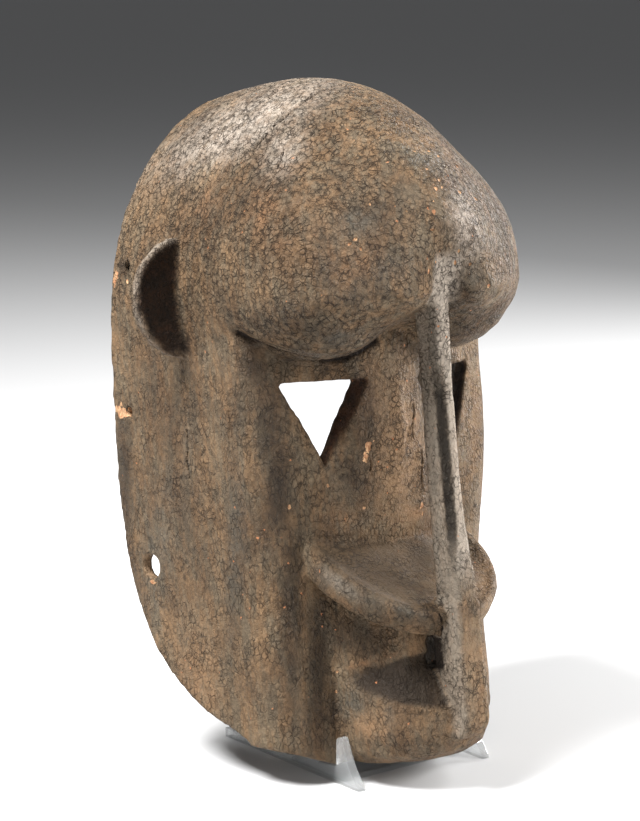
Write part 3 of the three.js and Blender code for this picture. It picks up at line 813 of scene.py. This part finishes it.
def thin_out(obj, hollow):
    """Leaves fewer triangles, mainly in the hollow."""
    group = obj.vertex_groups.new(name="plain")
    for chosen, value in ((hollow < 0.5, 0.25), (hollow > 0.5, 1.0)):
        group.add(np.flatnonzero(chosen).tolist(), value, "REPLACE")
    decimate = obj.modifiers.new("decimate", "DECIMATE")
    decimate.ratio = BASE_TRIANGLES / (2 * len(obj.data.polygons))
    decimate.vertex_group = "plain"
    decimate.vertex_group_factor = 0.6
    apply_modifiers(obj)
    obj.vertex_groups.clear()


def make_mask():
    """The carving, with all its relief but the cracks and chips."""
    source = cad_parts["mask"]
    sharp = feature_points(source.data)
    obj = remeshed_copy(source, "mask_carving")
    mesh = obj.data
    points = vertex_array(mesh)
    from_edge = distance_to(points, sharp, 9.0)
    lip = shelf_region(to_mask(points))
    points = smooth_facets(mesh, points, from_edge, lip)
    hollow = inside_region(to_mask(points), turn_to_mask(normal_array(mesh)))
    add_relief(mesh, points, from_edge, lip, hollow)
    thin_out(obj, hollow)
    return obj


def refine(mesh, marks, reach):
    """Splits the triangles near the marks, as long as the mesh stays under the limit."""
    bm = bmesh.new()
    bm.from_mesh(mesh)
    bm.verts.ensure_lookup_table()
    points = np.array([v.co for v in bm.verts]) / MM
    near = set(np.flatnonzero(distance_to(points, marks, reach) < reach * 0.999).tolist())
    chosen = [e for e in bm.edges if e.verts[0].index in near and e.verts[1].index in near]
    if len(bm.faces) + 2 * len(chosen) < MOST_TRIANGLES:
        bmesh.ops.subdivide_edges(bm, edges=chosen, cuts=1, use_grid_fill=True)
        bmesh.ops.triangulate(bm, faces=[f for f in bm.faces if len(f.verts) > 3])
    bm.to_mesh(mesh)
    bm.free()


def chip_region(points, chips):
    """The chips, each lumpy and leaning at random."""
    chip = np.zeros(len(points))
    for at, size in chips:
        offset = points - np.array(at)
        reach = 2 * size.max() + 2
        near = np.flatnonzero(np.einsum("ij,ij->i", offset, offset) < reach**2)
        lean = rng.normal(size=3) * 0.4
        stretched = offset[near] / size
        stretched = stretched + np.outer(stretched @ lean, lean) * 0.5
        lumps = noise(points[near], 1.2 + 0.3 * size.min(), size.min())
        d = np.linalg.norm(stretched, axis=1) + 0.65 * lumps
        chip[near] = np.maximum(chip[near], 1 - smooth(d, 0.75, 1.0))
    return chip


def add_marks(obj):
    """Drying cracks, chips and creases, where the photograph shows them.

    Returns where the cracks are, with a painted shadow line along the creases taken in, where the
    chips are and where the creases are. The mesh stays inside the CAD box.
    """
    mesh = obj.data
    tree = surface_tree(mesh)
    cracks, creases, lips = (
        [p for line in lines for p in along_surface(tree, line)]
        for lines in (LONG_CRACKS, CREASES, LIPS)
    )
    chips = [(on_surface(tree, *at), 0.5 + rng.random(3) * [0.9, 0.4, 1.1]) for at in CHIPS]
    chips += [(on_surface(tree, *at), np.array(size)) for at, size in BIG_CHIPS]
    chips = [(at, size) for at, size in chips if at is not None]
    marks = cracks + creases + [at for at, _ in chips]
    for reach in (4.0, 2.4):
        refine(mesh, marks, reach)

    points = vertex_array(mesh)
    normals = normal_array(mesh)
    opening = 0.45 + 0.4 * noise(points, 9.0, 1.5)
    from_crack = distance_to(points, cracks, 4.0) + noise(points, 1.5) * 0.3
    crack = 1 - smooth(from_crack, 0.3 * opening, 0.35 + 0.8 * opening)
    crack_edge = smooth(from_crack, 2.4, 1.2) * (1 - crack)
    chip = chip_region(points, chips)
    crease = bell(distance_to(points, creases, 5.0), 1.5)
    lip = bell(distance_to(points, lips, 6.0), 2.4)
    height = -CRACK_DEPTH * crack - CHIP_DEPTH * chip + CRACK_EDGE_HEIGHT * crack_edge
    height += -CREASE_DEPTH * crease + LIP_HEIGHT * lip
    low, high = (np.array(corner) / MM for corner in cad_box)
    points = points + normals * height[:, None]
    set_vertices(mesh, np.clip(points, low + BOX_MARGIN, high - BOX_MARGIN))
    # The cracks take in a painted shadow line along the creases
    return np.maximum(crack, 0.72 * crease), chip, crease


def stain(pixels, places):
    """How strongly soft ellipses on the photograph cover each point."""
    total = np.zeros(len(pixels))
    for px, py, across, along, degrees, strength in places:
        turn = math.radians(degrees)
        dx, dy = pixels[:, 0] - px, pixels[:, 1] - py
        u = (dx * math.cos(turn) + dy * math.sin(turn)) / across
        v = (dy * math.cos(turn) - dx * math.sin(turn)) / along
        total = np.maximum(total, strength * np.exp(-1.1 * (u * u + v * v) ** 1.3))
    return total


def chance_stain(q, tall, size, shift, low=0.2, high=0.7):
    """Stains at random, stretched upwards."""
    return smooth(noise(q * [1, 1, tall], size, shift), low, high)


def hidden_stains(q, normals):
    """Stains of the same kinds as the photograph's, at random, for the sides it doesn't show, with
    a dusty, painted highlight on faces turned up.
    """
    upward = smooth(normals[:, 2], 0.1, 0.8)
    return {
        "dust_and_sheen": upward * chance_stain(q, 1, 46, 2.5, 0.0, 0.6),
        "blue": 0.7 * chance_stain(q, 0.45, 24, 6.5, 0.3),
        "warm": 0.35 * chance_stain(q, 0.6, 30, 12.5),
        "tan": 0.3 * chance_stain(q, 0.5, 42, 21.5),
        "dark": 0.5 * chance_stain(q, 0.5, 38, 16.5, 0.25),
    }


def curvature(points, normals, edges):
    """How far each vertex stands out from its neighbours, for the length of its edges."""
    degree = edge_count(edges, len(points))
    out = np.einsum("ij,ij->i", points - neighbour_mean(points, edges, degree), normals)
    lengths = np.linalg.norm(points[edges[:, 0]] - points[edges[:, 1]], axis=1)
    total = sum(np.bincount(edges[:, k], lengths, len(points)) for k in (0, 1))
    return soften(out / (total / degree) ** 2, edges, 3)


def tint(obj, crack, chip, brow_shadow_line):
    """Stores where the patina is worn, stained and cracked, and where shade and highlights are
    painted, as attributes of the mesh.
    """
    mesh = obj.data
    points = vertex_array(mesh)
    normals = normal_array(mesh)
    edges = edge_array(mesh)
    q = to_mask(points)
    x, _, z = q.T
    turned = turn_to_mask(normals)
    seen = soften(seen_by_camera(points, normals, surface_tree(mesh)), edges, 5)
    pixels = photo_pixels(points)
    hidden = hidden_stains(q, turned)
    for name, places in STAINS.items():
        set_attribute(mesh, name, seen * stain(pixels, places) + (1 - seen) * hidden[name])

    # Convex places are worn and light; concave places get painted shade, and the crease under the
    # brow lobes a painted shadow line
    curve = curvature(points, normals, edges)
    set_attribute(mesh, "worn", smooth(curve, 0.12, 0.45))
    set_attribute(mesh, "crease", np.maximum(smooth(-curve, 0.1, 0.32), 1.3 * brow_shadow_line))
    set_attribute(mesh, "crack", crack)
    set_attribute(mesh, "chip", chip)

    # What lies deep and dark: the hollow is darker, the ears' fronts are painted in shade, the
    # eyes' cut faces are red-brown wood, and the slot, the right eye's cut faces and the hollow
    # seen through that eye are painted in deep shade
    hollow = soften(inside_region(q, turned), edges, 2)
    cut = eye_cut(q, turned)
    # Painted deep shade: the hollow seen through the right eye, the mouth slot and the right eye's
    # cut faces
    deep = np.maximum(hollow * behind_eye(q), slot_region(q))
    set_attribute(mesh, "hollow", hollow)
    set_attribute(mesh, "ear", soften(ear_face(q, turned), edges, 1))
    set_attribute(mesh, "coarse", np.maximum(brow_region(q), seen * stain(pixels, COARSE)))
    set_attribute(mesh, "cut", soften(cut, edges, 1))
    set_attribute(mesh, "deep", np.maximum(deep, soften(cut * (x > 0), edges, 1)))
    # The shelf's painted shadow on the chin's bevel
    set_attribute(mesh, "ledge_shadow", ledge_region(q))
    set_attribute(mesh, "bore", bore_region(q, turned))

    # The shelf is dark on top; the nose bar gets a painted highlight in front and on its left side,
    # and the ears' rims one too
    bar = bar_region(q)
    groove_shade = groove_region(q)
    upward = 0.3 + 0.7 * smooth(turned[:, 2], 0.35, 0.65)
    shelf = shelf_region(q) * (1 - bar) * upward * (1 - smooth(x, 10, 30))
    flank_highlight = soften(bar * smooth(-turned[:, 0], 0.6, 0.85), edges, 1)
    front = soften(bar * smooth(-turned[:, 1], 0.35, 0.75) * smooth(z, 80, 110), edges, 2)
    rim = soften(ear_rim(q), edges, 1)
    set_attribute(mesh, "shelf", shelf)
    set_attribute(mesh, "flank_highlight", flank_highlight)
    set_attribute(mesh, "groove_shade", groove_shade)
    set_attribute(mesh, "edge_highlight", np.maximum(front * (1 - groove_shade), rim))


class Nodes:
    """A new material, with short ways to add and link its nodes."""

    def __init__(self, name):
        self.material = bpy.data.materials.new(name)
        self.material.use_nodes = True
        self.tree = self.material.node_tree
        self.shader = self.tree.nodes["Principled BSDF"]

    def add(self, kind, **settings):
        node = self.tree.nodes.new(kind)
        for name, value in settings.items():
            setattr(node, name, value)
        return node

    def put(self, socket, value):
        if isinstance(value, bpy.types.NodeSocket):
            self.tree.links.new(value, socket)
        else:
            socket.default_value = value

    def math(self, operation, a, b, clamp=False):
        node = self.add("ShaderNodeMath", operation=operation, use_clamp=clamp)
        self.put(node.inputs[0], a)
        self.put(node.inputs[1], b)
        return node.outputs[0]

    def times(self, *values):
        product = values[0]
        for value in values[1:]:
            product = self.math("MULTIPLY", product, value)
        return product

    def plus(self, *values):
        total = values[0]
        for value in values[1:]:
            total = self.math("ADD", total, value)
        return total

    def highest(self, *values):
        most = values[0]
        for value in values[1:]:
            most = self.math("MAXIMUM", most, value)
        return most

    def step(self, value, low, high, start=0.0, end=1.0):
        """Goes smoothly from start to end as the value goes from low to high."""
        node = self.add("ShaderNodeMapRange", interpolation_type="SMOOTHSTEP")
        self.put(node.inputs["Value"], value)
        limits = {"From Min": low, "From Max": high, "To Min": start, "To Max": end}
        for name, limit in limits.items():
            self.put(node.inputs[name], limit)
        return node.outputs[0]

    def mix(self, factor, a, b, blend="MIX"):
        node = self.add("ShaderNodeMix", data_type="RGBA", blend_type=blend)
        node.clamp_factor = True
        self.put(node.inputs[0], factor)
        for socket, colour in ((node.inputs[6], a), (node.inputs[7], b)):
            self.put(socket, colour if isinstance(colour, bpy.types.NodeSocket) else (*colour, 1))
        return node.outputs[2]

    def tinted(self, colour, by):
        return self.mix(1.0, colour, by, "MULTIPLY")

    def attribute(self, name):
        return self.add("ShaderNodeAttribute", attribute_name=name).outputs["Fac"]

    def layer(self, colour, name, strength, over):
        """Lays a colour over another where an attribute of the mesh says so."""
        return self.mix(self.times(self.attribute(name), strength), colour, over)

    def noise(self, vector, scale, detail, rough=0.5, output="Fac"):
        node = self.add("ShaderNodeTexNoise")
        self.put(node.inputs["Vector"], vector)
        node.inputs["Scale"].default_value = scale
        node.inputs["Detail"].default_value = detail
        node.inputs["Roughness"].default_value = rough
        return node.outputs[output]

    def cells(self, vector, size, feature="F1"):
        node = self.add("ShaderNodeTexVoronoi", feature=feature)
        self.put(node.inputs["Vector"], vector)
        node.inputs["Scale"].default_value = 1 / size
        return node

    def channel(self, colour, index):
        node = self.add("ShaderNodeSeparateColor")
        self.put(node.inputs[0], colour)
        return node.outputs[index]

    def grey(self, value):
        node = self.add("ShaderNodeCombineColor")
        for socket in node.inputs:
            self.put(socket, value)
        return node.outputs[0]

    def vector(self, operation, a, b):
        node = self.add("ShaderNodeVectorMath", operation=operation)
        self.put(node.inputs[0], a)
        self.put(node.inputs[1], b)
        return node.outputs[0]

    def mapped(self, vector, scale, turn=(0, 0, 0)):
        node = self.add("ShaderNodeMapping")
        self.put(node.inputs["Vector"], vector)
        node.inputs["Rotation"].default_value = turn
        node.inputs["Scale"].default_value = scale
        return node.outputs[0]

    def relief(self, height, strength, distance):
        """Bump of the shader, with the height of 1 in metres."""
        node = self.add("ShaderNodeBump")
        node.inputs["Strength"].default_value = strength
        node.inputs["Distance"].default_value = distance
        self.put(node.inputs["Height"], height)
        self.put(self.shader.inputs["Normal"], node.outputs[0])


def crackle(n, at, bent, tall):
    """Crackle in two sizes of cells. Returns its dark lines and its relief."""
    wide = n.cells(bent, LARGE_CELL, "DISTANCE_TO_EDGE").outputs["Distance"]
    narrow = n.cells(tall, SMALL_CELL, "DISTANCE_TO_EDGE").outputs["Distance"]
    patches = n.plus(n.noise(at, 0.045, 3), n.times(n.attribute("coarse"), 0.2))
    wide_open = n.step(patches, 0.46, 0.7)
    narrow_open = n.step(n.noise(at, 0.07, 3), 0.36, 0.62, 0.25, 1.0)
    broken = n.step(n.noise(at, 0.34, 3), 0.4, 0.6, 0.2, 1.0)
    wide_line = n.times(n.step(wide, 0.07, 0.02), wide_open)
    narrow_line = n.times(n.step(narrow, 0.085, 0.02), narrow_open)
    lines = n.times(n.highest(wide_line, n.times(narrow_line, 0.8)), broken)
    pillow = n.times(n.step(wide, 0.0, 0.16), wide_open, broken)
    small_pillow = n.times(n.step(narrow, 0.0, 0.2), narrow_open, broken)
    relief = n.plus(n.times(pillow, 0.65), n.times(small_pillow, 0.38))
    return lines, n.math("SUBTRACT", relief, n.times(lines, 0.55))


def crust(n, at, tall, grain):
    """The colour of the clean crust."""
    broad = n.step(n.noise(n.mapped(at, (1, 1, 0.5)), 0.03, 5, 0.6), 0.3, 0.7)
    colour = n.mix(broad, CRUST_DEEP, CRUST_LIGHT)
    cell = n.channel(n.cells(tall, SMALL_CELL).outputs["Color"], 0)
    colour = n.tinted(colour, n.grey(n.step(cell, 0.0, 1.0, 0.85, 1.15)))
    hue = n.step(n.noise(n.mapped(at, (1.0, 1.0, 0.3)), 0.16, 4, 0.65), 0.36, 0.64)
    colour = n.tinted(colour, n.mix(hue, COOL_TINT, WARM_TINT))
    lump = n.step(n.noise(at, 0.3, 3, 0.6), 0.36, 0.64)
    colour = n.tinted(colour, n.mix(lump, DIM, BRIGHT))
    colour = n.mix(n.step(grain, 0.5, 0.8, 0.0, 0.36), colour, GRAIN_LIGHT)
    return n.mix(n.step(grain, 0.5, 0.2, 0.0, 0.5), colour, GRAIN_DEEP)


def patina():
    """Old wood under a dry, dark crust that has cracked into small cells."""
    n = Nodes("crackled_wood")

    # Places in the mask's own frame in mm, then bent, and then stretched upwards
    place = n.add("ShaderNodeTexCoord").outputs["Object"]
    at = n.mapped(place, (1 / MM, 1 / MM, 1 / MM), (LEAN, 0, 0))
    wander = n.vector("SUBTRACT", n.noise(at, 0.3, 5, 0.75, "Color"), (0.5, 0.5, 0.5))
    bent = n.vector("ADD", at, n.vector("MULTIPLY", wander, (2.2, 2.2, 2.2)))
    tall = n.mapped(bent, (1.0, 1.0, 0.62))
    grain = n.noise(at, 1.5, 3, 0.65)
    mottle = n.noise(at, 0.16, 4, 0.65)
    ragged = n.step(mottle, 0.3, 0.66)
    lines, relief = crackle(n, at, bent, tall)
    colour = crust(n, at, tall, grain)

    # Stains and painted shade, dusty painted highlights, and wear
    stains = {}
    for name, levels, strengths, over in STAIN_LAYERS:
        stains[name] = n.times(n.attribute(name), n.step(mottle, *levels, *strengths))
        colour = n.mix(stains[name], colour, over)
    colour = n.layer(colour, *CREASE_SHADE_LAYER)
    # Dusty grey, with painted highlights
    dust_and_highlight = n.times(n.attribute("dust_and_sheen"), n.step(mottle, 0.3, 0.62, 0.35, 0.9))
    colour = n.mix(n.times(dust_and_highlight, n.step(grain, 0.36, 0.56, 0.45, 1.0)), colour, DUST_AND_HIGHLIGHT)
    colour = n.mix(n.times(n.attribute("worn"), n.times(ragged, 0.5)), colour, WORN)

    # Places with painted highlights and shadow, the dark top of the shelf, the ears' painted shade,
    # the eyes' cut faces and the deep places
    for layer in PLACE_LAYERS:
        colour = n.layer(colour, *layer)
    # The ears' fronts, painted in shade
    colour = n.layer(colour, "ear", 0.95, n.mix(ragged, *EAR_SHADE_COLOURS))
    colour = n.layer(colour, "cut", 0.85, n.mix(ragged, *CUT_COLOURS))
    for layer in DEEP_LAYERS:
        colour = n.layer(colour, *layer)

    # Lines of the crackle, specks and chips that show fresh wood, and drying cracks, with a painted
    # shadow line along the brow crease
    colour = n.mix(n.times(lines, 0.8), colour, LINE)
    specks = n.cells(bent, SPECK_CELL)
    more = n.times(n.plus(stains["tan"], stains["warm"]), 0.08)
    rare = n.step(n.plus(n.channel(specks.outputs["Color"], 1), more), 0.965, 0.975)
    small = n.step(n.plus(specks.outputs["Distance"], n.times(grain, 0.5)), 0.44, 0.36)
    colour = n.mix(n.times(rare, small), colour, SPECK)
    uneven = n.times(n.math("SUBTRACT", grain, 0.5), 0.5)
    chip = n.step(n.plus(n.attribute("chip"), uneven), 0.4, 0.6)
    fresh = n.mix(n.step(n.noise(at, 0.5, 3), 0.35, 0.65), *FRESH)
    colour = n.mix(chip, colour, fresh)
    crack = n.step(n.attribute("crack"), 0.25, 0.75)
    n.put(n.shader.inputs["Base Color"], n.mix(n.times(crack, 0.95), colour, CRACK))

    # Gloss
    gloss = n.step(mottle, 0.3, 0.7, 0.50, 0.66)
    gloss = n.math("SUBTRACT", gloss, n.times(stains["blue"], 0.16))
    dark = n.highest(lines, n.attribute("ear"), n.attribute("cut"), n.attribute("deep"))
    matt = n.highest(dark, n.times(n.attribute("shelf"), 0.8))
    gloss = n.math("ADD", gloss, n.times(matt, 0.32), clamp=True)
    n.put(n.shader.inputs["Roughness"], gloss)
    n.shader.inputs["Specular IOR Level"].default_value = 0.2

    # Relief too fine for the mesh
    lumps = n.noise(at, 0.45, 4, 0.6)
    n.relief(n.plus(relief, n.times(grain, 0.35), lumps), 1.0, 0.0012)
    return n.material


def clear_plastic():
    """Clear, polished sheet with faint handling marks."""
    n = Nodes("clear_sheet")
    n.shader.inputs["Base Color"].default_value = SHEET_COLOUR
    n.shader.inputs["IOR"].default_value = SHEET_IOR
    n.shader.inputs["Transmission Weight"].default_value = SHEET_TRANSMISSION
    n.shader.inputs["Alpha"].default_value = SHEET_ALPHA
    place = n.add("ShaderNodeTexCoord").outputs["Object"]
    smear = n.noise(place, 90, 4, 0.6)
    n.put(n.shader.inputs["Roughness"], n.step(smear, 0.4, 0.75, 0.015, 0.10))
    n.relief(n.noise(n.mapped(place, (40, 900, 900)), 1.0, 2), 0.05, 0.0002)
    return n.material


def make_stand(name, material):
    """A piece of the stand with its edges polished round."""
    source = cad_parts[name]
    bm = bmesh.new()
    bm.from_mesh(source.data)
    bmesh.ops.remove_doubles(bm, verts=bm.verts, dist=MERGE)
    bmesh.ops.dissolve_limit(bm, angle_limit=math.radians(1), verts=bm.verts, edges=bm.edges)
    mesh = bpy.data.meshes.new(name + "_polished")
    bm.to_mesh(mesh)
    bm.free()
    obj = bpy.data.objects.new(name + "_polished", mesh)
    bpy.context.scene.collection.objects.link(obj)
    bevel = obj.modifiers.new("edges", "BEVEL")
    bevel.width = SHEET_EDGE * MM
    bevel.segments = 2
    bevel.limit_method = "ANGLE"
    bevel.angle_limit = math.radians(50)
    apply_modifiers(obj)
    obj.data.materials.append(material)
    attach(obj, "root")
    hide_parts(name)


def make_floor():
    mesh = bpy.data.meshes.new("floor")
    corners = [(x * FLOOR_HALF, y * FLOOR_HALF, 0) for x, y in ((-1, -1), (1, -1), (1, 1), (-1, 1))]
    mesh.from_pydata(corners, [], [(0, 1, 2, 3)])
    floor = bpy.data.objects.new("floor", mesh)
    bpy.context.scene.collection.objects.link(floor)
    n = Nodes("pale_floor")
    n.shader.inputs["Base Color"].default_value = FLOOR_COLOUR
    n.shader.inputs["Roughness"].default_value = 0.7
    mesh.materials.append(n.material)


def area_light(name, place, power, size):
    data = bpy.data.lights.new(name, "AREA")
    data.shape = "RECTANGLE"
    data.size, data.size_y = size
    data.energy = power
    light = bpy.data.objects.new(name, data)
    light.location = place
    aim = LIGHTS_AIM - Vector(place)
    light.rotation_euler = aim.to_track_quat("-Z", "Y").to_euler()
    bpy.context.scene.collection.objects.link(light)


def make_camera():
    data = bpy.data.cameras.new("camera")
    data.sensor_width = SENSOR
    data.lens = FOCAL_PX * SENSOR / PHOTO_HEIGHT
    data.clip_end = 200
    camera = bpy.data.objects.new("camera", data)
    camera.location = CAMERA_AT * MM
    camera.rotation_euler = CAMERA_TURN
    bpy.context.scene.collection.objects.link(camera)
    bpy.context.scene.camera = camera


make_camera()
make_floor()
for light in LIGHTS:
    area_light(*light)
world = bpy.data.worlds.new("studio")
world.use_nodes = True
background = world.node_tree.nodes["Background"]
background.inputs["Color"].default_value = WORLD_COLOUR
background.inputs["Strength"].default_value = WORLD_STRENGTH
bpy.context.scene.world = world
bpy.context.scene.view_settings.view_transform = "Standard"

mask = make_mask()
crack, chip, brow_shadow_line = add_marks(mask)
tint(mask, crack, chip, brow_shadow_line)
mask.data.materials.append(patina())
for polygon in mask.data.polygons:
    polygon.use_smooth = True
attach(mask, "root")
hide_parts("mask")

sheet = clear_plastic()
for name in ("stand_left", "stand_right", "stand_bridge"):
    make_stand(name, sheet)
